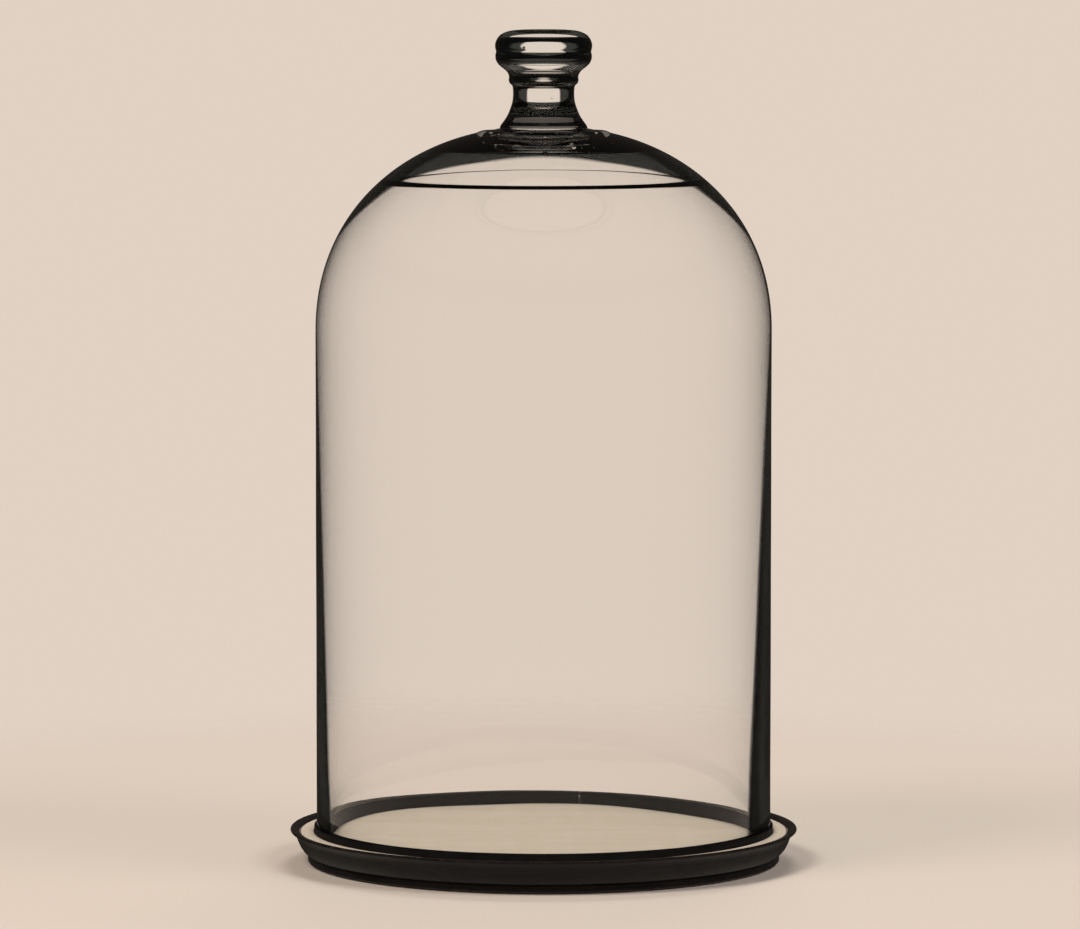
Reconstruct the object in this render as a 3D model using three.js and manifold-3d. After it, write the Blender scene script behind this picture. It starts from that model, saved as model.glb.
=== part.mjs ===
// Bell jar: a glass dome with a solid knob, standing in the groove of a turned base.
// Millimetres, +Z up, origin in the middle of the underside.

import * as THREE from 'three';
import { mergeVertices } from 'three/addons/utils/BufferGeometryUtils.js';
import Module from 'manifold-3d';

const wasm = await Module();
wasm.setup();

// Driving dimensions
const FIT_GAP = 0.3; // between pieces that touch
const BASE_SEGMENTS = 48; // round the dome and the base, alike so that the gaps stay even
const KNOB_SEGMENTS = 32;
const SCREW_SEGMENTS = 12;

// Glass dome
const DOME_RADIUS = 114; // outside of the straight wall
const SHOULDER_Z = 266; // top of the straight wall
const SHOULDER_RISE = 103; // shoulder to crown, outside
const SHOULDER_POWER = 2.15; // 2 would be an ellipse; more is squarer
const WALL_SHOULDER = 1.4; // wall thickness at the shoulder
const WALL_RIM = 5; // wall thickness at the rim
const CROWN_PAD_RADIUS = 21.5; // flat seat under the knob
const CAP_EDGE_Z = 355.5; // edge of the shallow cap inside the crown
const CAP_RISE = 2.5;
const LENS_GLASS = 4; // level thickness from the cap's edge down to the step
const STEP_TOP_Z = 340.8; // where the crown's thick glass ends inside
const STEP_FOOT_Z = 339.8;
const STEP_GLASS = 2.2; // level thickness under the step

// Knob, as heights above its foot
const KNOB_HEIGHT = 49;
const KNOB_FOOT_RADIUS = 21.9;
const NECK_RADIUS = 15.25;
const COLLAR_RADIUS = 17.4;
const HEAD_RADIUS = 24.2;

// Rubber channel on the rim
const CHANNEL_LEG = 1; // thickness of the legs
const CHANNEL_WEB = 1.5;
const CHANNEL_TOP_Z = 18.5;

// Base, radii
const CORE_RADIUS = 112;
const FOOT_RADIUS = 118.5;
const QUIRK_RADIUS = 118;
const INLAY_RADIUS = 122.4; // recess that takes the border
const LIP_RADIUS = 127.2;

// Base, heights above the table
const BAIZE_THICKNESS = 1.8;
const FOOT_LIFT = 0.5; // the baize stands this far proud of the moulding's foot
const FOOT_TOP_Z = 3.8;
const CORE_TOP_Z = 7.7; // also the groove's floor
const INLAY_FLOOR_Z = 12.2;
const DECK_TOP_Z = 12.5;
const BORDER_TOP_Z = 15.3;
const LIP_TOP_Z = 17;

// Deck screws
const SCREW_COUNT = 4;
const SCREW_CIRCLE = 70; // radius of the circle they stand on
const SCREW_HEAD_RADIUS = 3;
const SCREW_SHANK_RADIUS = 1.4;
const SCREW_LENGTH = 9.2;
const SCREW_SLOT = [0.8, 0.9]; // width and depth

// Worked out from those
const coreBottomZ = BAIZE_THICKNESS + FIT_GAP;
const channelBottomZ = CORE_TOP_Z + FIT_GAP;
const rimBottomZ = channelBottomZ + CHANNEL_WEB + FIT_GAP;
const channelOuter = DOME_RADIUS + FIT_GAP + CHANNEL_LEG;
const channelInner = DOME_RADIUS - WALL_RIM - FIT_GAP - CHANNEL_LEG;
const grooveOuter = channelOuter + FIT_GAP;
const deckRadius = channelInner - FIT_GAP;
const crownPadZ = shoulderZ(CROWN_PAD_RADIUS);
const knobFootZ = crownPadZ + FIT_GAP;

const clearGlass = { color: 0xe9f1ef, roughness: 0.03, metalness: 0 };
const blackLacquer = { color: 0x0b0b0c, roughness: 0.22, metalness: 0 };
const paleMaple = { color: 0xd3b492, roughness: 0.5, metalness: 0 };
const plywood = { color: 0xb98f61, roughness: 0.75, metalness: 0 };
const blackRubber = { color: 0x111112, roughness: 0.7, metalness: 0 };
const zincSteel = { color: 0xb4b6b6, roughness: 0.35, metalness: 1 };
const darkFelt = { color: 0x20242a, roughness: 0.95, metalness: 0 };

// The outside of the shoulder is the quarter of a superellipse that stands on the straight wall.
function shoulderZ(r) {
  return SHOULDER_Z + SHOULDER_RISE * restOf(r / DOME_RADIUS);
}

function shoulderRadius(z) {
  return DOME_RADIUS * restOf((z - SHOULDER_Z) / SHOULDER_RISE);
}

function restOf(share) {
  return (1 - share ** SHOULDER_POWER) ** (1 / SHOULDER_POWER);
}

// Evenly turned points on it, from the top of the straight wall to radius r.
function outerShoulder(r, steps) {
  const end = Math.acos((r / DOME_RADIUS) ** (SHOULDER_POWER / 2));
  return Array.from({ length: steps + 1 }, (_, i) => {
    const turn = (end * i) / steps;
    return [
      DOME_RADIUS * Math.cos(turn) ** (2 / SHOULDER_POWER),
      SHOULDER_Z + SHOULDER_RISE * Math.sin(turn) ** (2 / SHOULDER_POWER),
    ];
  });
}

// Inside of the shoulder: thick glass from the cap's edge down, a small step, then a thin shell. Its
// points lie closer together under the step.
function innerShoulder(steps) {
  const thick = [CAP_EDGE_Z, (CAP_EDGE_Z + STEP_TOP_Z) / 2, STEP_TOP_Z];
  const shell = Array.from({ length: steps + 1 }, (_, i) => {
    const down = i / steps;
    const z = STEP_FOOT_Z - (STEP_FOOT_Z - SHOULDER_Z) * down ** 1.7;
    return [shoulderRadius(z) - STEP_GLASS + (STEP_GLASS - WALL_SHOULDER) * down, z];
  });
  return [...thick.map((z) => [shoulderRadius(z) - LENS_GLASS, z]), ...shell];
}

// Points on a circle arc, angles in degrees from the +r direction towards +z.
function arc(centreR, centreZ, radius, from, to, steps) {
  return Array.from({ length: steps + 1 }, (_, i) => {
    const turn = THREE.MathUtils.degToRad(from + ((to - from) * i) / steps);
    return [centreR + radius * Math.cos(turn), centreZ + radius * Math.sin(turn)];
  });
}

// Turns an outline of [radius, height] points, anticlockwise from the axis or round a ring's section.
function turned(outline, segments) {
  const points = outline.map(([r, z]) => new THREE.Vector2(r, z));
  return new THREE.LatheGeometry(points, segments).rotateX(Math.PI / 2);
}

function ring(outline, segments) {
  return turned([...outline, outline[0]], segments);
}

// Copies of a geometry on the screw circle.
function onScrewCircle(geometry) {
  return Array.from({ length: SCREW_COUNT }, (_, i) => {
    const turn = (2 * Math.PI * (i + 0.5)) / SCREW_COUNT;
    return geometry
      .clone()
      .translate(SCREW_CIRCLE, 0, 0)
      .rotateZ(turn);
  });
}

function toSolid(geometry) {
  const bare = geometry.clone();
  bare.deleteAttribute('normal');
  bare.deleteAttribute('uv');
  const welded = mergeVertices(bare, 1e-4);
  const index = welded.index.array;
  const corners = [];
  for (let i = 0; i < index.length; i += 3) {
    const [a, b, c] = [index[i], index[i + 1], index[i + 2]];
    if (a !== b && b !== c && c !== a) corners.push(a, b, c);
  }
  const vertProperties = Float32Array.from(welded.attributes.position.array);
  return new wasm.Manifold(new wasm.Mesh({ numProp: 3, vertProperties, triVerts: Uint32Array.from(corners) }));
}

function cut(geometry, tools) {
  const solid = tools.reduce((left, tool) => left.subtract(toSolid(tool)), toSolid(geometry));
  const { vertProperties, triVerts } = solid.getMesh();
  const result = new THREE.BufferGeometry();
  result.setAttribute('position', new THREE.BufferAttribute(vertProperties, 3));
  result.setIndex(new THREE.BufferAttribute(triVerts, 1));
  result.computeVertexNormals();
  return result;
}

// Thick crown with a shallow cap inside, round shoulder, wall that thickens down to a round rim.
function domeGlass() {
  const capRadius = shoulderRadius(CAP_EDGE_Z) - LENS_GLASS;
  const capSphere = (capRadius ** 2 + CAP_RISE ** 2) / (2 * CAP_RISE);
  const capCentreZ = CAP_EDGE_Z + CAP_RISE - capSphere;
  const capAngle = THREE.MathUtils.radToDeg(Math.acos(capRadius / capSphere));
  const rimRadius = WALL_RIM / 2;
  return turned(
    [
      [0, CAP_EDGE_Z + CAP_RISE],
      ...arc(0, capCentreZ, capSphere, 90, capAngle, 4).slice(1, -1),
      ...innerShoulder(8),
      ...arc(DOME_RADIUS - rimRadius, rimBottomZ + rimRadius, rimRadius, 180, 360, 4),
      ...outerShoulder(CROWN_PAD_RADIUS, 12),
      [0, crownPadZ],
    ],
    BASE_SEGMENTS,
  );
}

// Flared foot, neck, collar, and a rolled head with a slight waist round its edge.
function knobGlass() {
  const headWaist = HEAD_RADIUS - 0.5;
  const outline = [
    [0, 0],
    [KNOB_FOOT_RADIUS, 0],
    [KNOB_FOOT_RADIUS - 0.1, 0.6],
    [20.2, 3],
    [18.25, 6],
    [16.5, 10],
    [15.6, 13],
    [NECK_RADIUS, 16],
    [NECK_RADIUS, 19],
    [15.6, 21.3],
    [COLLAR_RADIUS - 0.6, 22.2],
    [COLLAR_RADIUS, 23.5],
    [COLLAR_RADIUS - 0.1, 26],
    [18.4, 28],
    [20.8, 30],
    [22.9, 32],
    [HEAD_RADIUS - 0.3, 34.4],
    [HEAD_RADIUS - 0.2, 36],
    [headWaist, 38],
    [HEAD_RADIUS, 40],
    [HEAD_RADIUS, 42],
    [23.1, 44.4],
    [21.4, 46.3],
    [17.4, 48.1],
    [10, KNOB_HEIGHT - 0.2],
    [0, KNOB_HEIGHT],
  ];
  return turned(outline, KNOB_SEGMENTS).translate(0, 0, knobFootZ);
}

// Channel section, open upwards, gripping the glass rim.
function rimGasket() {
  const bevel = 0.4;
  return ring(
    [
      [channelInner, channelBottomZ],
      [channelOuter, channelBottomZ],
      [channelOuter, CHANNEL_TOP_Z - bevel],
      [channelOuter - bevel, CHANNEL_TOP_Z],
      [channelOuter - CHANNEL_LEG, CHANNEL_TOP_Z],
      [channelOuter - CHANNEL_LEG, channelBottomZ + CHANNEL_WEB],
      [channelInner + CHANNEL_LEG, channelBottomZ + CHANNEL_WEB],
      [channelInner + CHANNEL_LEG, CHANNEL_TOP_Z],
      [channelInner + bevel, CHANNEL_TOP_Z],
      [channelInner, CHANNEL_TOP_Z - bevel],
    ],
    BASE_SEGMENTS,
  );
}

// Foot, quirk, convex side and thin lip outside; ledge, groove wall and border recess inside.
function baseMoulding() {
  const inner = CORE_RADIUS + FIT_GAP;
  return ring(
    [
      [inner, FOOT_LIFT],
      [FOOT_RADIUS - 0.6, FOOT_LIFT],
      [FOOT_RADIUS, FOOT_LIFT + 0.6],
      [FOOT_RADIUS, FOOT_TOP_Z],
      [QUIRK_RADIUS, FOOT_TOP_Z + 0.4],
      [119.3, 4.7],
      [120.9, 6.2],
      [122.3, 8.2],
      [123.4, 10.6],
      [124.4, 13],
      [125.6, 14.8],
      [LIP_RADIUS, 16.2],
      [LIP_RADIUS - 0.4, LIP_TOP_Z],
      [LIP_RADIUS - 1.7, LIP_TOP_Z - 0.1],
      [INLAY_RADIUS + 0.6, 15.7],
      [INLAY_RADIUS, 15.2],
      [INLAY_RADIUS, INLAY_FLOOR_Z],
      [grooveOuter, INLAY_FLOOR_Z],
      [grooveOuter, CORE_TOP_Z],
      [inner, CORE_TOP_Z],
    ],
    BASE_SEGMENTS,
  );
}

function deckBorder() {
  const bevel = 0.3;
  const outer = INLAY_RADIUS - FIT_GAP;
  return ring(
    [
      [grooveOuter, INLAY_FLOOR_Z + FIT_GAP],
      [outer, INLAY_FLOOR_Z + FIT_GAP],
      [outer, BORDER_TOP_Z - bevel],
      [outer - bevel, BORDER_TOP_Z],
      [grooveOuter + bevel, BORDER_TOP_Z],
      [grooveOuter, BORDER_TOP_Z - bevel],
    ],
    BASE_SEGMENTS,
  );
}

function deckDisc() {
  const bevel = 0.4;
  const blank = turned(
    [
      [0, channelBottomZ],
      [deckRadius, channelBottomZ],
      [deckRadius, DECK_TOP_Z - bevel],
      [deckRadius - bevel, DECK_TOP_Z],
      [0, DECK_TOP_Z],
    ],
    BASE_SEGMENTS,
  );
  const pilotTop = coreBottomZ + SCREW_LENGTH + 2 * FIT_GAP;
  return cut(blank, onScrewCircle(bore(SCREW_SHANK_RADIUS + FIT_GAP, channelBottomZ - 1, pilotTop)));
}

// Clearance holes right through, countersunk from below.
function coreBoard() {
  const blank = turned(
    [
      [0, coreBottomZ],
      [CORE_RADIUS, coreBottomZ],
      [CORE_RADIUS, CORE_TOP_Z],
      [0, CORE_TOP_Z],
    ],
    BASE_SEGMENTS,
  );
  const mouth = SCREW_HEAD_RADIUS + 2 * FIT_GAP;
  const countersink = turned(
    [
      [0, coreBottomZ - 1],
      [mouth, coreBottomZ - 1],
      [mouth, coreBottomZ],
      [0, coreBottomZ + mouth],
    ],
    SCREW_SEGMENTS,
  );
  const clearance = bore(SCREW_SHANK_RADIUS + FIT_GAP, coreBottomZ - 1, CORE_TOP_Z + 1);
  return cut(blank, [...onScrewCircle(countersink), ...onScrewCircle(clearance)]);
}

function bore(radius, fromZ, toZ) {
  return turned(
    [
      [0, fromZ],
      [radius, fromZ],
      [radius, toZ],
      [0, toZ],
    ],
    SCREW_SEGMENTS,
  );
}

// Slotted countersunk wood screw standing head down, its head flush with the board's underside.
function deckScrew() {
  const headCone = SCREW_HEAD_RADIUS - SCREW_SHANK_RADIUS;
  const blank = turned(
    [
      [0, 0],
      [SCREW_HEAD_RADIUS - 0.2, 0],
      [SCREW_HEAD_RADIUS, 0.2],
      [SCREW_SHANK_RADIUS, headCone + 0.2],
      [SCREW_SHANK_RADIUS, SCREW_LENGTH - 1.6],
      [0, SCREW_LENGTH],
    ],
    SCREW_SEGMENTS,
  );
  const [slotWidth, slotDepth] = SCREW_SLOT;
  const slot = new THREE.BoxGeometry(4 * SCREW_HEAD_RADIUS, slotWidth, 2 * slotDepth);
  return cut(blank, [slot]).translate(0, 0, coreBottomZ);
}

function baseBaize() {
  return turned(
    [
      [0, 0],
      [CORE_RADIUS, 0],
      [CORE_RADIUS, BAIZE_THICKNESS],
      [0, BAIZE_THICKNESS],
    ],
    BASE_SEGMENTS,
  );
}

function piece(name, geometry, look) {
  const mesh = new THREE.Mesh(geometry, new THREE.MeshStandardMaterial(look));
  mesh.name = name;
  return mesh;
}

const liftOff = new THREE.Group();
liftOff.add(
  piece('dome_glass', domeGlass(), clearGlass),
  piece('knob_glass', knobGlass(), clearGlass),
  piece('rim_gasket', rimGasket(), blackRubber),
);

const base = new THREE.Group();
base.add(
  piece('base_moulding', baseMoulding(), blackLacquer),
  piece('core_board', coreBoard(), plywood),
  piece('deck_disc', deckDisc(), paleMaple),
  piece('deck_border', deckBorder(), paleMaple),
  piece('base_baize', baseBaize(), darkFelt),
  ...onScrewCircle(deckScrew()).map((screw, i) => piece(`deck_screw_${i + 1}`, screw, zincSteel)),
);

const bellJar = new THREE.Group();
bellJar.add(liftOff, base);

export default bellJar;
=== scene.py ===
"""Bell jar on a turned base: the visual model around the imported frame, and its studio. Metres, +Z up."""

import math

import bpy
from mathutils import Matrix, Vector, noise


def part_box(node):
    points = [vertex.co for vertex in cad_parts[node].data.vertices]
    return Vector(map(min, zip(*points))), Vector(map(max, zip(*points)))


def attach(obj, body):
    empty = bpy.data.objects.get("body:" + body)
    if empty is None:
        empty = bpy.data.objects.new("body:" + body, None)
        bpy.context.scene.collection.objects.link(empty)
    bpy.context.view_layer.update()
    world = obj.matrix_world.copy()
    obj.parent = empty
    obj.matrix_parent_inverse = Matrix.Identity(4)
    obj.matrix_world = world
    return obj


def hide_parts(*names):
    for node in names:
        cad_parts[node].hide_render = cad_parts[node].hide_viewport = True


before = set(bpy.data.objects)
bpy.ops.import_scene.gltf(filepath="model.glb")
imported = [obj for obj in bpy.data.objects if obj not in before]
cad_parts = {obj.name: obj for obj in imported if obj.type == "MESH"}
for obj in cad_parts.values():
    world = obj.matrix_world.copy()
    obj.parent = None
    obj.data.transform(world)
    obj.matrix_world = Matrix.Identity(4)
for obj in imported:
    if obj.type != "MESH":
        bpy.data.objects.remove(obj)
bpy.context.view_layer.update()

TAU = 2 * math.pi
MM = 0.001

# Lowest and highest corners of the frame's nodes
dome_low, dome_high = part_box("dome_glass")
knob_low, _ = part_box("knob_glass")
gasket_low, gasket_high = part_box("rim_gasket")
moulding_low, moulding_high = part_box("base_moulding")
_, core_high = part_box("core_board")
deck_low, deck_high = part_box("deck_disc")
border_low, border_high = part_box("deck_border")
_, baize_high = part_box("base_baize")

# Glass dome, as in the part's source
DOME_RADIUS = dome_high[0]
RIM_Z = dome_low[2]
CROWN_PAD_Z = dome_high[2]
SHOULDER_Z = 266 * MM
SHOULDER_RISE = 103 * MM
SHOULDER_POWER = 2.15
WALL_SHOULDER = 1.4 * MM
WALL_RIM = 5 * MM
CROWN_PAD_RADIUS = 21.5 * MM
CAP_EDGE_Z = 355.5 * MM
CAP_RISE = 2.5 * MM
LENS_GLASS = 4 * MM  # level thickness from the cap's edge down to the step
STEP_TOP_Z = 340.8 * MM
STEP_FOOT_Z = 339.8 * MM
STEP_GLASS = 2.2 * MM  # level thickness under the step
LEAN = 0.1  # how much thicker than the mean the wall is on its +X side
TOOL_RING = 13 * MM  # radius of the faint ring that a tool left in the cap
GATHER_RING = 31 * MM  # radius of the soft step where the knob's glass was gathered on

# Base, from the pieces that fit into it
FIT = 0.3 * MM  # between pieces that touch
DECK_RADIUS = deck_high[0]
CHANNEL_INNER_RADIUS = DECK_RADIUS + FIT
GROOVE_RADIUS = gasket_high[0] + FIT
INLAY_RADIUS = border_high[0] + FIT
LIP_RADIUS = moulding_high[0]
LIP_Z = moulding_high[2]

# Fineness of the turned meshes
GLASS_SEGMENTS = 224
TURNED_SEGMENTS = 256
KNOB_SEGMENTS = 160


# ---------------------------------------------------------------- mesh building


def smoothstep(x, low, high):
    """From 0 at low to 1 at high, and level beyond them."""
    share = min(max((x - low) / (high - low), 0), 1)
    return share * share * (3 - 2 * share)


def lathe(name, outline, segments, closed=False, shape=None):
    """A solid turned about Z from points that begin with (r, z), anticlockwise in the r-z plane.

    Points on the axis become poles, and closed joins the last point to the first.
    shape(point, turn) may return another (r, z) for a point at an angle.
    """
    verts, rows = [], []
    for point in outline:
        if point[0] < 1e-7:
            rows.append([len(verts)])
            verts.append((0, 0, point[1]))
            continue
        rows.append(range(len(verts), len(verts) + segments))
        for i in range(segments):
            turn = TAU * i / segments
            r, z = shape(point, turn) if shape else point[:2]
            verts.append((r * math.cos(turn), r * math.sin(turn), z))
    faces = []
    for low, high in zip(rows, rows[1:] + (rows[:1] if closed else [])):
        for i in range(segments):
            j = (i + 1) % segments
            corners = (low[i % len(low)], low[j % len(low)], high[j % len(high)], high[i % len(high)])
            faces.append(tuple(dict.fromkeys(corners)))
    return mesh_piece(name, verts, faces)


def mesh_piece(name, verts, faces):
    mesh = bpy.data.meshes.new(name)
    mesh.from_pydata(verts, [], faces)
    mesh.validate()
    piece = bpy.data.objects.new(name, mesh)
    bpy.context.scene.collection.objects.link(piece)
    mesh.shade_smooth()
    return piece


def keep_edges(piece, degrees):
    """Smooth shading that stays crisp at edges sharper than this."""
    piece.data.set_sharp_from_angle(angle=math.radians(degrees))


def store(piece, name, value_at):
    """Stores a value for each point, which a material reads by this name."""
    values = piece.data.attributes.new(name, "FLOAT", "POINT")
    for i, vertex in enumerate(piece.data.vertices):
        values.data[i].value = value_at(vertex.co)


def arc(centre_r, centre_z, radius, start, end, steps):
    """Points on a circle arc, angles in degrees from +r towards +z."""
    turns = [math.radians(start + (end - start) * i / steps) for i in range(steps + 1)]
    return [(centre_r + radius * math.cos(t), centre_z + radius * math.sin(t)) for t in turns]


def line(start, end, steps):
    """Points from start up to but not including end."""
    return [tuple(a + (b - a) * i / steps for a, b in zip(start, end)) for i in range(steps)]


def smooth_line(points, step):
    """A centripetal Catmull-Rom line through the points, sampled about step apart."""
    ends = [Vector(points[0]) * 2 - Vector(points[1]), Vector(points[-1]) * 2 - Vector(points[-2])]
    path = [ends[0], *map(Vector, points), ends[1]]
    result = []
    for p0, p1, p2, p3 in zip(path, path[1:], path[2:], path[3:]):
        knots = [0]
        for a, b in ((p0, p1), (p1, p2), (p2, p3)):
            knots.append(knots[-1] + max((b - a).length, 1e-9) ** 0.5)
        t0, t1, t2, t3 = knots
        count = max(1, round((p2 - p1).length / step))
        for i in range(count):
            t = t1 + (t2 - t1) * i / count
            a1 = p0 * ((t1 - t) / (t1 - t0)) + p1 * ((t - t0) / (t1 - t0))
            a2 = p1 * ((t2 - t) / (t2 - t1)) + p2 * ((t - t1) / (t2 - t1))
            a3 = p2 * ((t3 - t) / (t3 - t2)) + p3 * ((t - t2) / (t3 - t2))
            b1 = a1 * ((t2 - t) / (t2 - t0)) + a2 * ((t - t0) / (t2 - t0))
            b2 = a2 * ((t3 - t) / (t3 - t1)) + a3 * ((t - t1) / (t3 - t1))
            result.append(tuple(b1 * ((t2 - t) / (t2 - t1)) + b2 * ((t - t1) / (t2 - t1))))
    return [*result, tuple(points[-1])]


def rounded(corners, radius, steps=5):
    """A closed outline with each corner rounded by an arc-like curve, no larger than its sides allow."""
    result = []
    for i, corner in enumerate(corners):
        here = Vector(corner)
        before = Vector(corners[i - 1]) - here
        after = Vector(corners[(i + 1) % len(corners)]) - here
        reach = min(radius, before.length * 0.45, after.length * 0.45)
        start = here + before.normalized() * reach
        end = here + after.normalized() * reach
        for k in range(steps + 1):
            t = k / steps
            result.append(tuple(start * (1 - t) ** 2 + here * (2 * t * (1 - t)) + end * t**2))
    return result


# ---------------------------------------------------------------- shader building


def material(name):
    mat = bpy.data.materials.new(name)
    mat.use_nodes = True
    mat.node_tree.nodes.clear()
    return mat


def node(tree, kind, sockets=None, **settings):
    """Adds a shader node. sockets maps an input's name or number to a value or to another node's output."""
    new = tree.nodes.new("ShaderNode" + kind)
    for key, value in settings.items():
        setattr(new, key, value)
    for key, value in (sockets or {}).items():
        if isinstance(value, bpy.types.NodeSocket):
            tree.links.new(value, new.inputs[key])
        else:
            new.inputs[key].default_value = value
    return new


def blend_colour(tree, factor, first, second):
    mix = node(tree, "Mix", {0: factor, 6: first, 7: second}, data_type="RGBA")
    return mix.outputs[2]


def ramp(tree, factor, stops):
    """A colour ramp from (place, colour) stops."""
    new = node(tree, "ValToRGB", {"Fac": factor})
    elements = new.color_ramp.elements
    while len(elements) < len(stops):
        elements.new(0.5)
    for element, (place, colour) in zip(elements, stops):
        element.position = place
        element.color = (*colour, 1)
    return new.outputs["Color"]


def spread(tree, value, low, high, to_low, to_high):
    """Maps low to to_low and high to to_high, and stays level beyond them."""
    mapped = node(
        tree,
        "MapRange",
        {"Value": value, "From Min": low, "From Max": high, "To Min": to_low, "To Max": to_high},
    )
    return mapped.outputs["Result"]


def object_noise(tree, stretch, scale, detail=4, roughness=0.55, distortion=0.0):
    """Noise in the object's own space, stretched by the given factors."""
    place = node(tree, "TexCoord").outputs["Object"]
    mapped = node(tree, "Mapping", {"Vector": place, "Scale": stretch}).outputs["Vector"]
    sockets = {
        "Vector": mapped,
        "Scale": scale,
        "Detail": detail,
        "Roughness": roughness,
        "Distortion": distortion,
    }
    return node(tree, "TexNoise", sockets).outputs["Fac"]


def finish_surface(tree, shader, volume=None):
    out = node(tree, "OutputMaterial", {"Surface": shader})
    if volume:
        tree.links.new(volume, out.inputs["Volume"])


# ---------------------------------------------------------------- materials

EDGE_BLUR = 0.02  # the painted shade at a glass edge sets in over this much slant either side
PLY_PITCH = 2.2 * MM  # one dark and one light ply


def clear_glass():
    """Clear glass whose colour is painted dark where it is seen aslant, a painted shade for the dark edges
    that refraction gives; a value stored at each point says from what slant on.
    """
    mat = material("clear_blown_glass")
    tree = mat.node_tree
    waves = object_noise(tree, (1, 1, 0.4), 26, detail=1.0)
    bump = node(tree, "Bump", {"Strength": 0.05, "Distance": 0.001, "Height": waves})
    slant = node(tree, "LayerWeight", {"Blend": 0.5}).outputs["Facing"]
    painted_shade_start = node(tree, "Attribute", attribute_name="painted_shade_start").outputs["Fac"]
    past = node(tree, "Math", {0: slant, 1: painted_shade_start}, operation="SUBTRACT").outputs[0]
    depth = node(
        tree,
        "MapRange",
        {"Value": past, "From Min": -EDGE_BLUR, "From Max": EDGE_BLUR, "To Min": 0.0, "To Max": 1.0},
        interpolation_type="SMOOTHSTEP",
    )
    # Painted shade: past that slant the colour blends to near black, standing in for the dark edges of
    # refracting glass.
    colour = blend_colour(tree, depth.outputs["Result"], (1.0, 1.0, 1.0, 1), (0.003, 0.004, 0.004, 1))
    body = node(
        tree,
        "BsdfPrincipled",
        {
            "Base Color": colour,
            "Roughness": 0.0,
            "IOR": 1.5,
            "Transmission Weight": 1.0,
            "Normal": bump.outputs["Normal"],
        },
    )
    lit_through = node(tree, "BsdfTransparent", {"Color": (0.9, 0.92, 0.91, 1)})
    path = node(tree, "LightPath")
    shader = node(
        tree,
        "MixShader",
        {0: path.outputs["Is Shadow Ray"], 1: body.outputs[0], 2: lit_through.outputs[0]},
    )
    tint = node(tree, "VolumeAbsorption", {"Color": (0.55, 0.75, 0.68, 1), "Density": 1.5})
    finish_surface(tree, shader.outputs[0], tint.outputs[0])
    return mat


def black_rubber():
    mat = material("black_rubber")
    tree = mat.node_tree
    grain = object_noise(tree, (1, 1, 1), 900, detail=3)
    bloom = object_noise(tree, (1, 1, 1), 45, detail=4)
    colour = ramp(tree, bloom, [(0.35, (0.004, 0.004, 0.0045)), (0.75, (0.012, 0.0115, 0.011))])
    bump = node(tree, "Bump", {"Strength": 0.25, "Distance": 0.0001, "Height": grain})
    body = node(
        tree,
        "BsdfPrincipled",
        {
            "Base Color": colour,
            "Roughness": spread(tree, bloom, 0.3, 0.7, 0.5, 0.72),
            "Specular IOR Level": 0.15,
            "Normal": bump.outputs["Normal"],
        },
    )
    finish_surface(tree, body.outputs[0])
    return mat


def ebonised_wood():
    """Black lacquer over turned wood: open grain shows through, and "wear" says where it is rubbed."""
    mat = material("ebonised_wood")
    tree = mat.node_tree
    grain = object_noise(tree, (9, 150, 150), 1.0, detail=6, distortion=0.4)
    haze = object_noise(tree, (1, 1, 1), 38, detail=5)
    worn = node(tree, "Attribute", attribute_name="wear").outputs["Fac"]
    patches = object_noise(tree, (1, 1, 1), 210, detail=5, roughness=0.7)
    rubbed = node(tree, "Math", {0: worn, 1: spread(tree, patches, 0.46, 0.66, 0, 1)}, operation="MULTIPLY")
    lacquer = ramp(tree, grain, [(0.3, (0.0045, 0.0042, 0.0045)), (0.75, (0.013, 0.0115, 0.011))])
    colour = blend_colour(tree, rubbed.outputs[0], lacquer, (0.035, 0.02, 0.012, 1))
    bump = node(tree, "Bump", {"Strength": 0.12, "Distance": 0.0003, "Height": grain})
    body = node(
        tree,
        "BsdfPrincipled",
        {
            "Base Color": colour,
            "Roughness": spread(tree, haze, 0.3, 0.72, 0.16, 0.34),
            "Coat Weight": 0.35,
            "Coat Roughness": 0.08,
            "Normal": bump.outputs["Normal"],
        },
    )
    finish_surface(tree, body.outputs[0])
    return mat


def pale_maple():
    mat = material("pale_maple")
    tree = mat.node_tree
    rings = object_noise(tree, (3.2, 34, 34), 1.0, detail=3, distortion=1.1)
    fibre = object_noise(tree, (40, 900, 900), 1.0, detail=5, roughness=0.65)
    curl = object_noise(tree, (120, 20, 20), 1.0, detail=2)
    growth = [
        (0.25, (0.71, 0.56, 0.43)),
        (0.5, (0.79, 0.655, 0.525)),
        (0.62, (0.74, 0.595, 0.465)),
        (0.8, (0.82, 0.69, 0.56)),
    ]
    base = ramp(tree, rings, growth)
    streaked = blend_colour(tree, spread(tree, fibre, 0.35, 0.75, 0, 0.35), base, (0.60, 0.45, 0.32, 1))
    colour = blend_colour(tree, spread(tree, curl, 0.4, 0.7, 0, 0.18), streaked, (0.87, 0.76, 0.64, 1))
    bump = node(tree, "Bump", {"Strength": 0.15, "Distance": 0.0002, "Height": fibre})
    body = node(
        tree,
        "BsdfPrincipled",
        {
            "Base Color": colour,
            "Roughness": spread(tree, fibre, 0.3, 0.7, 0.38, 0.55),
            "Normal": bump.outputs["Normal"],
        },
    )
    finish_surface(tree, body.outputs[0])
    return mat


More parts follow.
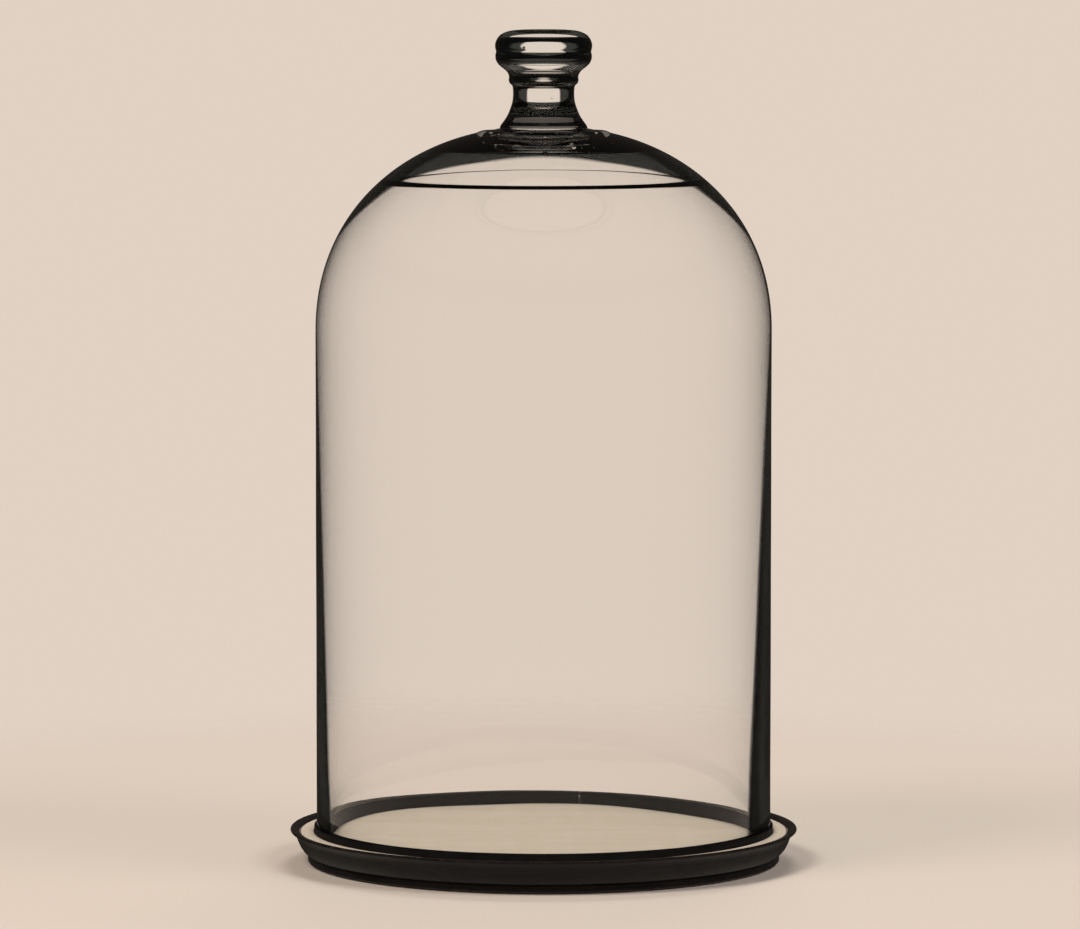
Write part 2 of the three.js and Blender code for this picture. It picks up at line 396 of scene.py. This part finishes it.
def raw_plywood():
    mat = material("raw_plywood")
    tree = mat.node_tree
    figure = object_noise(tree, (7, 90, 1), 1.0, detail=5, distortion=0.8)
    face = ramp(tree, figure, [(0.3, (0.42, 0.27, 0.15)), (0.7, (0.58, 0.40, 0.24))])
    height = node(tree, "SeparateXYZ", {"Vector": node(tree, "TexCoord").outputs["Object"]}).outputs["Z"]
    plies = node(tree, "Math", {0: height, 1: TAU / PLY_PITCH}, operation="MULTIPLY")
    banding = node(tree, "Math", {0: plies.outputs[0]}, operation="SINE")
    dark_ply = spread(tree, banding.outputs[0], -0.2, 0.6, 0, 0.5)
    colour = blend_colour(tree, dark_ply, face, (0.30, 0.18, 0.10, 1))
    bump = node(tree, "Bump", {"Strength": 0.3, "Distance": 0.0002, "Height": figure})
    body = node(
        tree,
        "BsdfPrincipled",
        {"Base Color": colour, "Roughness": 0.78, "Normal": bump.outputs["Normal"]},
    )
    finish_surface(tree, body.outputs[0])
    return mat


def wool_felt():
    mat = material("wool_felt")
    tree = mat.node_tree
    matted = object_noise(tree, (1, 1, 1), 420, detail=6, roughness=0.7, distortion=0.6)
    fibres = object_noise(tree, (1, 1, 1), 2600, detail=3, roughness=0.7)
    colour = ramp(tree, matted, [(0.3, (0.016, 0.019, 0.024)), (0.7, (0.045, 0.05, 0.058))])
    relief = node(tree, "Math", {0: matted, 1: fibres}, operation="ADD")
    bump = node(tree, "Bump", {"Strength": 0.7, "Distance": 0.0004, "Height": relief.outputs[0]})
    body = node(
        tree,
        "BsdfPrincipled",
        {
            "Base Color": colour,
            "Roughness": 0.95,
            "Sheen Weight": 0.5,
            "Sheen Roughness": 0.4,
            "Normal": bump.outputs["Normal"],
        },
    )
    finish_surface(tree, body.outputs[0])
    return mat


def zinc_steel():
    mat = material("zinc_steel")
    tree = mat.node_tree
    spangle = object_noise(tree, (1, 1, 1), 1500, detail=3)
    scratches = object_noise(tree, (200, 4000, 4000), 1.0, detail=2)
    colour = ramp(tree, spangle, [(0.3, (0.50, 0.51, 0.52)), (0.7, (0.72, 0.72, 0.70))])
    bump = node(tree, "Bump", {"Strength": 0.15, "Distance": 0.0001, "Height": scratches})
    body = node(
        tree,
        "BsdfPrincipled",
        {
            "Base Color": colour,
            "Metallic": 1.0,
            "Roughness": spread(tree, spangle, 0.3, 0.7, 0.25, 0.42),
            "Normal": bump.outputs["Normal"],
        },
    )
    finish_surface(tree, body.outputs[0])
    return mat


GLASS = clear_glass()
RUBBER = black_rubber()
EBONISED = ebonised_wood()
MAPLE = pale_maple()
PLYWOOD = raw_plywood()
FELT = wool_felt()
ZINC = zinc_steel()


# ---------------------------------------------------------------- glass dome

CAP_RINGS = 70  # of points across the cap
CROWDING = 1.7  # more sets the points inside the shoulder closer together under the crown
BUBBLES = 16  # in the crown
GOLDEN_TURN = math.pi * (3 - 5**0.5)  # turning by this from one to the next scatters them evenly


def rest_of(share):
    """The other coordinate on the quarter superellipse that the shoulder follows outside."""
    return max(1 - share**SHOULDER_POWER, 0) ** (1 / SHOULDER_POWER)


def shoulder_height(r):
    return SHOULDER_Z + SHOULDER_RISE * rest_of(r / DOME_RADIUS)


def shoulder_radius(z):
    return DOME_RADIUS * rest_of((z - SHOULDER_Z) / SHOULDER_RISE)


def outer_shoulder(to_r, steps):
    """Evenly turned points from the top of the straight wall to radius to_r."""
    end = math.acos((to_r / DOME_RADIUS) ** (SHOULDER_POWER / 2))
    radii = [DOME_RADIUS * math.cos(end * i / steps) ** (2 / SHOULDER_POWER) for i in range(steps + 1)]
    return [(r, crown_height(r)) for r in radii]


def inner_shoulder(steps):
    """Thick glass from the cap's edge down, a small step, then a thin shell."""
    points = []
    for i in range(steps + 1):
        z = CAP_EDGE_Z - (CAP_EDGE_Z - SHOULDER_Z) * (i / steps) ** CROWDING
        down = max(STEP_FOOT_Z - z, 0) / (STEP_FOOT_Z - SHOULDER_Z)
        shell = STEP_GLASS + (WALL_SHOULDER - STEP_GLASS) * down ** (1 / CROWDING)
        glass = shell + (LENS_GLASS - shell) * smoothstep(z, STEP_FOOT_Z, STEP_TOP_Z)
        points.append((shoulder_radius(z) - glass, z))
    return points


CAP_RADIUS = shoulder_radius(CAP_EDGE_Z) - LENS_GLASS
CAP_SPHERE = (CAP_RADIUS**2 + CAP_RISE**2) / (2 * CAP_RISE)


def ridge(r, middle, height, width):
    """A soft ridge round the axis, at the radius middle."""
    return height * math.exp(-(((r - middle) / width) ** 2))


def cap_height(r):
    """The shallow cap inside the crown, with the faint ring a tool left near its middle."""
    cap = CAP_EDGE_Z + CAP_RISE - CAP_SPHERE + (CAP_SPHERE**2 - r**2) ** 0.5
    return cap - ridge(r, TOOL_RING, 0.35 * MM, 1.1 * MM)


def crown_height(r):
    """The outside of the crown: a soft step where the knob's glass was gathered on, and flow waves in it."""
    step = ridge(r, GATHER_RING, 0.45 * MM, 1.6 * MM)
    waves = 0.2 * MM * math.cos((r - CROWN_PAD_RADIUS) / (1.5 * MM)) * smoothstep(r, 38 * MM, 24 * MM)
    return shoulder_height(r) + step + waves * smoothstep(r, 21 * MM, 24 * MM)


def dome_outline():
    """(r, z, inside) from the top of the cap, down the inside, round the rim and up to the crown."""
    rim = WALL_RIM / 2
    cap = [(r, cap_height(r)) for r in (CAP_RADIUS * i / CAP_RINGS for i in range(CAP_RINGS))]
    inner = inner_shoulder(150)[:-1]
    wall = line((DOME_RADIUS - WALL_SHOULDER, SHOULDER_Z), (DOME_RADIUS - WALL_RIM, RIM_Z + rim), 60)
    bottom = arc(DOME_RADIUS - rim, RIM_Z + rim, rim, 180, 360, 16)[:-1]
    outside = line((DOME_RADIUS, RIM_Z + rim), (DOME_RADIUS, SHOULDER_Z), 40)
    crown = outer_shoulder(CROWN_PAD_RADIUS, 110)
    pad = [(r, CROWN_PAD_Z) for r in (CROWN_PAD_RADIUS * share for share in (0.8, 0.5, 0.2, 0))]
    return [(r, z, True) for r, z in cap + inner + wall] + [
        (r, z, False) for r, z in bottom + outside + crown + pad
    ]


def wall_thickness(z):
    """The mean thickness, without the lean."""
    down = min(max((SHOULDER_Z - z) / (SHOULDER_Z - RIM_Z), 0), 1)
    return WALL_SHOULDER + (WALL_RIM - WALL_SHOULDER) * down


def hand_blown(point, turn):
    """Uneven wall: thicker towards +X, with slow waves that differ inside and outside."""
    r, z, inside = point
    around = Vector((math.cos(turn), math.sin(turn), z / (90 * MM)))
    free = smoothstep(z, RIM_Z + 8 * MM, RIM_Z + 40 * MM) * smoothstep(r, 20 * MM, 60 * MM)
    if not inside:
        return r + 0.10 * MM * free * noise.noise(around * 1.3), z
    below_crown = 1 - smoothstep(z, SHOULDER_Z, SHOULDER_Z + 60 * MM)
    lean = LEAN * wall_thickness(z) * math.cos(turn) * below_crown
    waves = 0.04 * wall_thickness(z) * noise.noise(around * 1.9 + Vector((7, 3, 1)))
    return r - free * (lean + waves), z


def edge_slant(band, radius):
    """The slant, 1 minus the cosine to the normal, so far in from the outline of a round piece."""
    return 1 - (1 - (1 - band / radius) ** 2) ** 0.5


# The band of painted shade along the dome's outline
EDGE_PER_GLASS = 2.4  # times the wall's thickness
EDGE_CUT = 2.5 * MM  # taken off that
EDGE_LEAST = 0.8 * MM
EDGE_LEAN = 0.25  # how much wider than the mean it is towards +X
EDGE_IN_CROWN = 4.3 * MM  # added by the step, and less and less down to CROWN_FOOT_Z
CROWN_FOOT_Z = SHOULDER_Z + 44 * MM
# (height in millimetres, slant from which the outside is painted dark there) above the step
CROWN_EDGES = [(339.8, 0.70), (346, 0.615), (353, 0.51), (357, 0.50), (359.5, 0.75), (365, 0.9)]


def along(table, height):
    """The table's value at this height, straight between its rows and level beyond them."""
    if height <= table[0][0]:
        return table[0][1]
    for (low, low_value), (high, high_value) in zip(table, table[1:]):
        if height < high:
            return low_value + (high_value - low_value) * (height - low) / (high - low)
    return table[-1][1]


def dome_painted_shade_start(spot):
    """Where the wall is thicker, a wider band along its outline is painted dark, and wider towards +X; this
    painted shade stands in for the glass's dark edges.

    The band on the inside starts at the inner surface, so both bands end in the same place.
    """
    reach = math.hypot(spot.x, spot.y)
    outside = shoulder_radius(max(spot.z, SHOULDER_Z))
    glass = wall_thickness(spot.z)
    inside = reach < outside - glass / 2
    if spot.z > STEP_FOOT_Z and not inside:
        return along(CROWN_EDGES, spot.z / MM)
    in_crown = smoothstep(spot.z, CROWN_FOOT_Z, STEP_FOOT_Z)
    band = max(EDGE_PER_GLASS * glass - EDGE_CUT, EDGE_LEAST)
    if reach > MM:
        band *= 1 + EDGE_LEAN * spot.x / reach
    band += EDGE_IN_CROWN * in_crown
    if inside:
        band -= glass * (1 - in_crown)
    return edge_slant(max(band, 0), DOME_RADIUS)


def seed(centre, size, stretch):
    """A small bubble: an ellipsoid that faces inwards, because the glass is outside it."""
    rings, around = 8, 12
    verts = [(0, 0, -1)]
    for i in range(1, rings):
        tilt = math.pi * i / rings
        for k in range(around):
            turn = TAU * k / around
            verts.append((math.sin(tilt) * math.cos(turn), math.sin(tilt) * math.sin(turn), -math.cos(tilt)))
    verts.append((0, 0, 1))
    faces = []
    for k in range(around):
        j = (k + 1) % around
        faces.append((0, 1 + k, 1 + j))
        for i in range(rings - 2):
            a, b = 1 + i * around, 1 + (i + 1) * around
            faces.append((a + k, b + k, b + j, a + j))
        last = 1 + (rings - 2) * around
        faces.append((last + k, len(verts) - 1, last + j))
    placed = [tuple(Vector(centre) + Vector((x * stretch, y, z * 0.8)) * size) for x, y, z in verts]
    return placed, faces


def join_shells(piece, shells):
    """Adds closed shells to a piece's mesh."""
    mesh = piece.data
    verts = [tuple(v.co) for v in mesh.vertices]
    faces = [tuple(p.vertices) for p in mesh.polygons]
    for more, its_faces in shells:
        start = len(verts)
        verts += more
        faces += [tuple(start + i for i in face) for face in its_faces]
    mesh.clear_geometry()
    mesh.from_pydata(verts, [], faces)
    mesh.shade_smooth()


def make_dome():
    piece = lathe("bell_dome", dome_outline(), GLASS_SEGMENTS, shape=hand_blown)
    bubbles = []
    for i in range(BUBBLES):
        turn = GOLDEN_TURN * i + 0.5
        reach = 18 * MM + 2.2 * MM * i
        inner = cap_height(reach)
        outer = shoulder_height(reach)
        height = inner + (outer - inner) * (0.22 + 0.11 * (i % 4))
        centre = (reach * math.cos(turn), reach * math.sin(turn), height)
        size = (0.35 + 0.14 * (i * 7 % 5)) * MM
        stretch = 1.0 + 0.25 * (i % 3)
        bubbles.append(seed(centre, size, stretch))
    join_shells(piece, bubbles)
    store(piece, "painted_shade_start", dome_painted_shade_start)
    piece.data.materials.append(GLASS)
    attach(piece, "dome")
    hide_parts("dome_glass")


# ---------------------------------------------------------------- glass knob

KNOB_SINK = 0.8 * MM  # the knob's glass runs this far into the crown, as fused glass does
# (radius, height above the foot) in millimetres
KNOB_PROFILE = [
    (21.9, 0.0),
    (21.5, 1.2),
    (20.1, 3.1),
    (18.2, 6.0),
    (16.5, 10.0),
    (15.6, 13.0),
    (15.25, 16.0),
    (15.3, 19.0),
    (15.7, 21.0),
    (16.9, 22.2),
    (17.4, 23.6),
    (17.3, 25.4),
    (17.7, 26.9),
    (18.9, 28.5),
    (21.0, 30.2),
    (22.9, 32.0),
    (23.9, 34.0),
    (24.1, 36.0),
    (23.75, 38.0),
    (24.15, 39.8),
    (24.2, 41.6),
    (23.3, 44.2),
    (21.4, 46.4),
    (17.6, 48.1),
    (12.0, 48.8),
    (5.0, 49.0),
    (0.0, 49.0),
]
# (height above the foot in millimetres, slant from which the glass is painted dark there). This painted
# shade is striped, with clear and dark stretches, and a stretch below zero is dark at any slant.
KNOB_EDGES = [
    (0.0, 0.3),
    (1.0, 0.45),
    (5.2, 0.45),
    (6.0, 0.0),
    (9.6, 0.0),
    (10.8, 0.15),
    (19.0, 0.15),
    (22.0, 0.1),
    (24.2, 0.0),
    (26.8, 0.0),
    (27.8, 0.42),
    (31.8, 0.42),
    (32.6, -0.02),
    (36.2, -0.02),
    (37.2, 0.11),
    (43.0, 0.11),
    (43.8, 0.0),
    (44.6, 0.0),
    (45.4, 0.5),
    (49.0, 0.5),
]


def knob_painted_shade_start(spot):
    return along(KNOB_EDGES, (spot.z - knob_low[2]) / MM)


def make_knob():
    profile = [(r * MM, knob_low[2] + z * MM) for r, z in KNOB_PROFILE]
    bottom = knob_low[2] - KNOB_SINK
    foot_radius = profile[0][0]
    outline = [(0, bottom), (foot_radius * 0.5, bottom), (foot_radius - 0.3 * MM, bottom)]
    outline += smooth_line(profile, 0.45 * MM)

    def tooled(point, turn):
        r, z = point
        around = Vector((math.cos(turn), math.sin(turn), z / (30 * MM)))
        return r * (1 + 0.004 * noise.noise(around * 1.7)), z

    piece = lathe("bell_knob", outline, KNOB_SEGMENTS, shape=tooled)
    bubbles = [
        seed((4.1 * MM, -3.2 * MM, knob_low[2] + 33 * MM), 0.5 * MM, 1.0),
        seed((-6.3 * MM, 2.0 * MM, knob_low[2] + 41 * MM), 0.38 * MM, 1.2),
        seed((2.2 * MM, 5.1 * MM, knob_low[2] + 14 * MM), 0.32 * MM, 1.0),
    ]
    join_shells(piece, bubbles)
    store(piece, "painted_shade_start", knob_painted_shade_start)
    piece.data.materials.append(GLASS)
    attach(piece, "dome")
    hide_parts("knob_glass")


# ---------------------------------------------------------------- rubber channel

CHANNEL_LEG = 1.2 * MM
CHANNEL_WEB = 1.6 * MM
SEAM_TURN = math.radians(80)  # the butt joint, behind and a little to the right
SEAM_GAP = 1.5 * MM


def make_gasket():
    inner, outer = CHANNEL_INNER_RADIUS, gasket_high[0]
    bottom, top = gasket_low[2], gasket_high[2]
    section = rounded(
        [
            (inner, bottom),
            (outer, bottom),
            (outer, top),
            (outer - CHANNEL_LEG, top),
            (outer - CHANNEL_LEG, bottom + CHANNEL_WEB),
            (inner + CHANNEL_LEG, bottom + CHANNEL_WEB),
            (inner + CHANNEL_LEG, top),
            (inner, top),
        ],
        0.5 * MM,
    )
    verts, faces = [], []
    half_gap = SEAM_GAP / 2 / outer
    steps = TURNED_SEGMENTS
    for i in range(steps + 1):
        turn = SEAM_TURN + half_gap + (TAU - 2 * half_gap) * i / steps
        lift = 0.12 * MM * noise.noise(Vector((math.cos(turn) * 3, math.sin(turn) * 3, 5)))
        for r, z in section:
            z += lift if z > (bottom + top) / 2 else 0
            verts.append((r * math.cos(turn), r * math.sin(turn), z))
    count = len(section)
    for i in range(steps):
        for k in range(count):
            j = (k + 1) % count
            a, b = i * count, (i + 1) * count
            faces.append((a + k, b + k, b + j, a + j))
    faces.append(tuple(range(count)))
    faces.append(tuple(reversed(range(steps * count, (steps + 1) * count))))
    piece = mesh_piece("rim_channel", verts, faces)
    keep_edges(piece, 50)
    piece.data.materials.append(RUBBER)
    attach(piece, "dome")
    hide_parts("rim_gasket")


# ---------------------------------------------------------------- base

FOOT_RADIUS = 118.5 * MM
FOOT_ROUND = 0.6 * MM  # radius of the foot's lower edge
QUIRK_Z = 4.2 * MM  # the small hollow between the foot and the side
QUIRK_RADIUS = 0.5 * MM


def make_moulding():
    inner = core_high[0] + FIT
    foot = moulding_low[2]
    ledge = core_high[2]
    inlay_floor = border_low[2] - FIT
    side = smooth_line(
        [
            (FOOT_RADIUS - QUIRK_RADIUS, QUIRK_Z),
            (119.4 * MM, 4.7 * MM),
            (120.9 * MM, 6.2 * MM),
            (122.3 * MM, 8.2 * MM),
            (123.4 * MM, 10.6 * MM),
            (124.4 * MM, 13.0 * MM),
            (125.6 * MM, 14.6 * MM),
            (LIP_RADIUS - 0.1 * MM, 15.7 * MM),
            (LIP_RADIUS, LIP_Z - 0.6 * MM),
            (LIP_RADIUS - 0.35 * MM, LIP_Z - 0.1 * MM),
            (LIP_RADIUS - 0.9 * MM, LIP_Z),
            (LIP_RADIUS - 1.6 * MM, LIP_Z - 0.15 * MM),
            (INLAY_RADIUS + 0.8 * MM, 16.1 * MM),
            (INLAY_RADIUS + 0.2 * MM, 15.5 * MM),
            (INLAY_RADIUS, 15.0 * MM),
        ],
        0.25 * MM,
    )
    foot_corner = arc(FOOT_RADIUS - FOOT_ROUND, foot + FOOT_ROUND, FOOT_ROUND, -90, 0, 6)
    quirk = arc(FOOT_RADIUS, QUIRK_Z, QUIRK_RADIUS, 270, 180, 6)
    outline = [(inner, foot), (115 * MM, foot)] + foot_corner
    outline += line((FOOT_RADIUS, foot + 0.7 * MM), (FOOT_RADIUS, QUIRK_Z - QUIRK_RADIUS), 4)
    outline += quirk + side[1:]
    outline += [
        (INLAY_RADIUS, inlay_floor),
        (GROOVE_RADIUS, inlay_floor),
        (GROOVE_RADIUS, ledge),
        (inner, ledge),
    ]
    piece = lathe("turned_moulding", outline, TURNED_SEGMENTS, closed=True)
    keep_edges(piece, 40)

    def rubbed(spot):
        near_lip = smoothstep(spot.z, LIP_Z - 1.3 * MM, LIP_Z - 0.1 * MM)
        near_foot = 1 - smoothstep(spot.z, foot + 0.2 * MM, foot + 1.2 * MM)
        return max(near_lip, 0.7 * near_foot)

    store(piece, "wear", rubbed)
    piece.data.materials.append(EBONISED)
    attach(piece, "base")
    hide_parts("base_moulding")


def make_deck():
    bottom, top = deck_low[2], deck_high[2]
    edge = 0.5 * MM
    outline = [(0, bottom), (DECK_RADIUS * 0.5, bottom), (DECK_RADIUS, bottom)]
    outline += arc(DECK_RADIUS - edge, top - edge, edge, 0, 90, 8)
    outline += [(DECK_RADIUS * share, top) for share in (0.75, 0.5, 0.25, 0)]
    piece = lathe("maple_deck", outline, TURNED_SEGMENTS)
    keep_edges(piece, 40)
    piece.data.materials.append(MAPLE)
    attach(piece, "base")
    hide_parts("deck_disc")


def make_border():
    inner, outer = GROOVE_RADIUS, border_high[0]
    bottom, top = border_low[2], border_high[2]
    section = rounded([(inner, bottom), (outer, bottom), (outer, top), (inner, top)], 0.35 * MM)
    piece = lathe("maple_border", section, TURNED_SEGMENTS, closed=True)
    keep_edges(piece, 40)
    piece.data.materials.append(MAPLE)
    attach(piece, "base")
    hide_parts("deck_border")


def make_baize():
    radius, top = baize_high[0], baize_high[2]
    edge = arc(radius - 0.5 * MM, 0.5 * MM, 0.5 * MM, -90, 0, 4)
    edge += arc(radius - 0.4 * MM, top - 0.4 * MM, 0.4 * MM, 0, 90, 4)
    outline = [(0, 0), *[(radius * share, 0) for share in (0.3, 0.6, 0.9)], *edge]
    outline += [(radius * share, top) for share in (0.9, 0.6, 0.3, 0)]

    def scissored(point, turn):
        r, z = point
        at_edge = smoothstep(r, radius * 0.98, radius)
        wander = noise.noise(Vector((math.cos(turn) * 9, math.sin(turn) * 9, 2)))
        return r - 0.35 * MM * at_edge * abs(wander), z

    piece = lathe("felt_baize", outline, TURNED_SEGMENTS, shape=scissored)
    piece.data.materials.append(FELT)
    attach(piece, "base")
    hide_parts("base_baize")


def dress(name, mat):
    """Gives a CAD node that stays as it is its procedural material."""
    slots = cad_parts[name].material_slots
    if not slots:
        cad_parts[name].data.materials.append(mat)
    for slot in slots:
        slot.material = mat


# ---------------------------------------------------------------- studio

BACKDROP = (0.75, 0.64, 0.545)  # what the camera sees beyond the floor
# Brightness of the surround against that
THROUGH_GLASS = 1.06  # makes up for what the glass loses
CEILING = 0.03  # overhead
CEILING_START = 0.22  # height, in the direction looked in, where it starts to darken
CEILING_END = 0.42
MIRRORED = 0.04  # in reflections
MIRRORED_FLOOR = 0.22  # in reflections from below
INNER_DIM = 0.65  # how far light that is reflected inside the glass is dimmed towards MIRRORED
FLOOR_SOLID = 0.34  # radius from which the floor fades into the surround
FLOOR_FADED = 0.75
FLOOR_DROP = 0.3 * MM  # below the baize, so that no faces coincide


def make_floor():
    """Pale paper that fades out, and is dimmed where it is reflected inside the glass."""
    rings, segments = 40, 96
    outline = [(0, 0)] + [(FLOOR_FADED * i / rings, 0) for i in range(1, rings + 1)]
    floor = lathe("studio_floor", outline[::-1], segments)
    floor.location.z = -FLOOR_DROP
    mat = material("studio_floor")
    tree = mat.node_tree
    place = node(tree, "TexCoord").outputs["Object"]
    away = node(tree, "VectorMath", {0: place}, operation="LENGTH").outputs["Value"]
    grit = object_noise(tree, (1, 1, 1), 900, detail=2)
    colour = ramp(tree, grit, [(0.3, (0.72, 0.61, 0.52)), (0.7, (0.75, 0.64, 0.55))])
    cover = node(
        tree,
        "MapRange",
        {"Value": away, "From Min": FLOOR_SOLID, "From Max": FLOOR_FADED, "To Min": 1.0, "To Max": 0.0},
        interpolation_type="SMOOTHERSTEP",
    )
    paper = node(tree, "BsdfDiffuse", {"Color": colour})
    clear = node(tree, "BsdfTransparent")
    depth = node(tree, "LightPath").outputs["Glossy Depth"]
    mirrored = node(tree, "Math", {0: depth, 1: INNER_DIM}, operation="MINIMUM").outputs[0]
    kept = node(tree, "Math", {0: 1.0, 1: mirrored}, operation="SUBTRACT").outputs[0]
    shown = node(tree, "Math", {0: cover.outputs["Result"], 1: kept}, operation="MULTIPLY").outputs[0]
    shader = node(tree, "MixShader", {0: shown, 1: clear.outputs[0], 2: paper.outputs[0]})
    finish_surface(tree, shader.outputs[0])
    floor.data.materials.append(mat)
    floor.visible_glossy = False


def make_world():
    """A pale surround. All but the camera sees it dark overhead, and darker still in reflections."""
    world = bpy.data.worlds.new("studio")
    bpy.context.scene.world = world
    world.use_nodes = True
    tree = world.node_tree
    tree.nodes.clear()
    way = node(tree, "TexCoord").outputs["Generated"]
    height = node(tree, "SeparateXYZ", {"Vector": way}).outputs["Z"]
    level = node(
        tree,
        "MapRange",
        {
            "Value": height,
            "From Min": CEILING_START,
            "From Max": CEILING_END,
            "To Min": THROUGH_GLASS,
            "To Max": CEILING,
        },
        interpolation_type="SMOOTHSTEP",
    )
    in_mirror = spread(tree, height, -0.65, -0.25, MIRRORED_FLOOR, MIRRORED)
    path = node(tree, "LightPath")
    glossy = path.outputs["Is Glossy Ray"]
    through = path.outputs["Is Transmission Ray"]
    bounced = node(tree, "Math", {0: glossy, 1: through}, operation="SUBTRACT", use_clamp=True)
    inner = node(tree, "Math", {0: path.outputs["Glossy Depth"], 1: INNER_DIM}, operation="MINIMUM")
    dimmed = node(tree, "Math", {0: bounced.outputs[0], 1: inner.outputs[0]}, operation="MAXIMUM")
    unseen = node(tree, "Mix", {0: dimmed.outputs[0], 2: level.outputs[0], 3: in_mirror})
    seen = node(tree, "Mix", {0: path.outputs["Is Camera Ray"], 2: unseen.outputs[0], 3: 1.0})
    shade = node(tree, "Background", {"Color": (*BACKDROP, 1), "Strength": seen.outputs[0]})
    node(tree, "OutputWorld", {"Surface": shade.outputs[0]})


def area_light(name, place, target, size, power, colour):
    lamp = bpy.data.lights.new(name, "AREA")
    lamp.shape = "DISK"
    lamp.size = size
    lamp.energy = power
    lamp.color = colour
    light = bpy.data.objects.new(name, lamp)
    light.location = place
    light.rotation_euler = (Vector(target) - Vector(place)).to_track_quat("-Z", "Y").to_euler()
    light.visible_glossy = False
    light.visible_transmission = False
    bpy.context.scene.collection.objects.link(light)


def make_lights():
    middle = (0, 0, 0.15)
    area_light("key_softbox", (-1.6, -1.3, 2.6), middle, 1.3, 62, (1.0, 0.97, 0.93))
    area_light("fill_softbox", (1.9, -1.0, 2.2), middle, 1.5, 36, (0.95, 0.97, 1.0))
    area_light("back_softbox", (0.3, 2.1, 2.4), middle, 1.4, 36, (1.0, 0.98, 0.95))


# Camera: just above the crown, looking slightly down on the base.
CAMERA_AWAY = 3.193
CAMERA_HEIGHT = 0.456
AIM_SIDE = -0.0018
AIM_HEIGHT = 0.1995
LENS_MM = 213.2


def make_camera():
    lens = bpy.data.cameras.new("camera")
    lens.lens = LENS_MM
    lens.sensor_width = 36
    lens.clip_start = 0.1
    lens.clip_end = 60
    camera = bpy.data.objects.new("camera", lens)
    camera.location = (AIM_SIDE, -CAMERA_AWAY, CAMERA_HEIGHT)
    aim = Vector((AIM_SIDE, 0, AIM_HEIGHT)) - camera.location
    camera.rotation_euler = aim.to_track_quat("-Z", "Y").to_euler()
    bpy.context.scene.collection.objects.link(camera)
    bpy.context.scene.camera = camera


make_dome()
make_knob()
make_gasket()
make_moulding()
make_deck()
make_border()
make_baize()
dress("core_board", PLYWOOD)
for number in range(1, 5):
    dress(f"deck_screw_{number}", ZINC)
make_floor()
make_world()
make_lights()
make_camera()
bpy.context.scene.view_settings.view_transform = "Standard"
